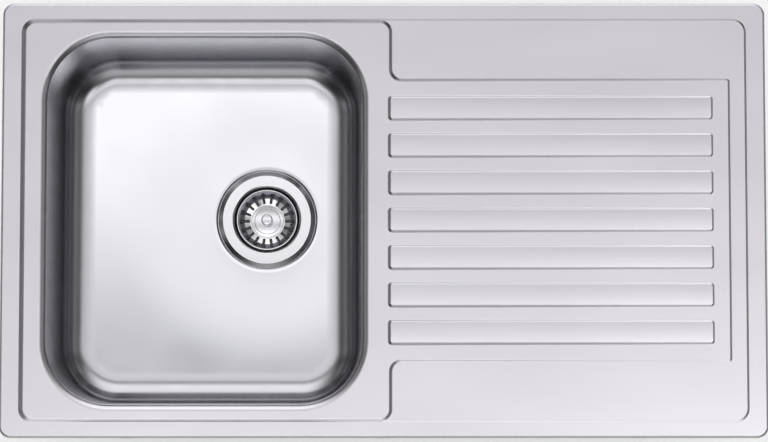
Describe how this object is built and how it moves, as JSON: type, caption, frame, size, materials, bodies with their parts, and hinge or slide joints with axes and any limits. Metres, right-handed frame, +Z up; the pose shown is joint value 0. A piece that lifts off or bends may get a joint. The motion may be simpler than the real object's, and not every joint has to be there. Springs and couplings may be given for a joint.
{
  "type": "kitchen sink with drainboard",
  "caption": "Inset stainless steel sink with one deep bowl, a ribbed drainboard, a basket strainer waste and clamps that grip the worktop from below.",
  "frame": {"origin": "middle of the outline, on the worktop's upper face, where the foam strip rests", "axes": "+X from the bowl towards the drainboard, +Y to the rear, +Z up"},
  "size_m": [0.86, 0.49, 0.2508],
  "materials": {
    "satin_steel": "silk-finished stainless sheet",
    "polished_steel": "drawn and polished stainless sheet",
    "bright_steel": "mirror-polished stainless",
    "rail_steel": "galvanised strip",
    "zinc_plated_steel": "zinc plated",
    "spring_steel": "plain spring steel",
    "brass": "turned",
    "waste_plastic": "moulded polypropylene",
    "black_rubber": "moulded rubber",
    "foam_strip": "closed-cell foam",
    "damping_pad": "bitumen damping sheet"
  },
  "bodies": {
    "sink": {"sink_deck": "satin_steel", "sink_bowl": "polished_steel", "bowl_sound_pad": "damping_pad", "drainer_sound_pad": "damping_pad", "rim_seal": "foam_strip", "fixing_rail_front": "rail_steel", "fixing_rail_rear": "rail_steel", "fixing_rail_left": "rail_steel", "fixing_rail_right": "rail_steel", "clamp_hangers": "zinc_plated_steel", "clamp_nuts": "zinc_plated_steel", "waste_flange": "bright_steel", "waste_upper_gasket": "black_rubber", "waste_lower_gasket": "black_rubber", "waste_body": "waste_plastic", "waste_outlet_pipe": "waste_plastic", "waste_insert": "brass", "waste_centre_screw": "bright_steel"},
    "basket": {"basket": "bright_steel", "basket_disc": "bright_steel", "basket_knob": "bright_steel", "basket_catch": "spring_steel", "basket_seal": "black_rubber"},
    "claw_front_left": {"clamp_claw_front_left": "zinc_plated_steel"},
    "screw_front_left": {"clamp_screw_front_left": "zinc_plated_steel"},
    "claw_front_middle": {"clamp_claw_front_middle": "zinc_plated_steel"},
    "screw_front_middle": {"clamp_screw_front_middle": "zinc_plated_steel"},
    "claw_front_right": {"clamp_claw_front_right": "zinc_plated_steel"},
    "screw_front_right": {"clamp_screw_front_right": "zinc_plated_steel"},
    "claw_rear_left": {"clamp_claw_rear_left": "zinc_plated_steel"},
    "screw_rear_left": {"clamp_screw_rear_left": "zinc_plated_steel"},
    "claw_rear_middle": {"clamp_claw_rear_middle": "zinc_plated_steel"},
    "screw_rear_middle": {"clamp_screw_rear_middle": "zinc_plated_steel"},
    "claw_rear_right": {"clamp_claw_rear_right": "zinc_plated_steel"},
    "screw_rear_right": {"clamp_screw_rear_right": "zinc_plated_steel"},
    "claw_left": {"clamp_claw_left": "zinc_plated_steel"},
    "screw_left": {"clamp_screw_left": "zinc_plated_steel"},
    "claw_right": {"clamp_claw_right": "zinc_plated_steel"},
    "screw_right": {"clamp_screw_right": "zinc_plated_steel"}
  },
  "joints": [
    {"name": "basket_lift", "type": "slide", "parent": "sink", "child": "basket", "axis": [0, 0, 1], "range_m": [0, 0.22]},
    {"name": "claw_lift_front_left", "type": "slide", "parent": "sink", "child": "claw_front_left", "axis": [0, 0, 1], "range_m": [0, 0.0144]},
    {"name": "screw_turn_front_left", "type": "hinge", "parent": "claw_front_left", "child": "screw_front_left", "pos_m": [-0.29, -0.219, -0.0495], "axis": [0, 0, 1], "range_deg": [0, 6480]},
    {"name": "claw_lift_front_middle", "type": "slide", "parent": "sink", "child": "claw_front_middle", "axis": [0, 0, 1], "range_m": [0, 0.0144]},
    {"name": "screw_turn_front_middle", "type": "hinge", "parent": "claw_front_middle", "child": "screw_front_middle", "pos_m": [0, -0.219, -0.0495], "axis": [0, 0, 1], "range_deg": [0, 6480]},
    {"name": "claw_lift_front_right", "type": "slide", "parent": "sink", "child": "claw_front_right", "axis": [0, 0, 1], "range_m": [0, 0.0144]},
    {"name": "screw_turn_front_right", "type": "hinge", "parent": "claw_front_right", "child": "screw_front_right", "pos_m": [0.29, -0.219, -0.0495], "axis": [0, 0, 1], "range_deg": [0, 6480]},
    {"name": "claw_lift_rear_left", "type": "slide", "parent": "sink", "child": "claw_rear_left", "axis": [0, 0, 1], "range_m": [0, 0.0144]},
    {"name": "screw_turn_rear_left", "type": "hinge", "parent": "claw_rear_left", "child": "screw_rear_left", "pos_m": [-0.29, 0.219, -0.0495], "axis": [0, 0, 1], "range_deg": [0, 6480]},
    {"name": "claw_lift_rear_middle", "type": "slide", "parent": "sink", "child": "claw_rear_middle", "axis": [0, 0, 1], "range_m": [0, 0.0144]},
    {"name": "screw_turn_rear_middle", "type": "hinge", "parent": "claw_rear_middle", "child": "screw_rear_middle", "pos_m": [0, 0.219, -0.0495], "axis": [0, 0, 1], "range_deg": [0, 6480]},
    {"name": "claw_lift_rear_right", "type": "slide", "parent": "sink", "child": "claw_rear_right", "axis": [0, 0, 1], "range_m": [0, 0.0144]},
    {"name": "screw_turn_rear_right", "type": "hinge", "parent": "claw_rear_right", "child": "screw_rear_right", "pos_m": [0.29, 0.219, -0.0495], "axis": [0, 0, 1], "range_deg": [0, 6480]},
    {"name": "claw_lift_left", "type": "slide", "parent": "sink", "child": "claw_left", "axis": [0, 0, 1], "range_m": [0, 0.0144]},
    {"name": "screw_turn_left", "type": "hinge", "parent": "claw_left", "child": "screw_left", "pos_m": [-0.404, 0, -0.0495], "axis": [0, 0, 1], "range_deg": [0, 6480]},
    {"name": "claw_lift_right", "type": "slide", "parent": "sink", "child": "claw_right", "axis": [0, 0, 1], "range_m": [0, 0.0144]},
    {"name": "screw_turn_right", "type": "hinge", "parent": "claw_right", "child": "screw_right", "pos_m": [0.404, 0, -0.0495], "axis": [0, 0, 1], "range_deg": [0, 6480]}
  ],
  "couplings": [
    {"joint": "screw_turn_front_left", "follows": "claw_lift_front_left", "rad_per_m": 7854},
    {"joint": "screw_turn_front_middle", "follows": "claw_lift_front_middle", "rad_per_m": 7854},
    {"joint": "screw_turn_front_right", "follows": "claw_lift_front_right", "rad_per_m": 7854},
    {"joint": "screw_turn_rear_left", "follows": "claw_lift_rear_left", "rad_per_m": 7854},
    {"joint": "screw_turn_rear_middle", "follows": "claw_lift_rear_middle", "rad_per_m": 7854},
    {"joint": "screw_turn_rear_right", "follows": "claw_lift_rear_right", "rad_per_m": 7854},
    {"joint": "screw_turn_left", "follows": "claw_lift_left", "rad_per_m": 7854},
    {"joint": "screw_turn_right", "follows": "claw_lift_right", "rad_per_m": 7854}
  ]
}
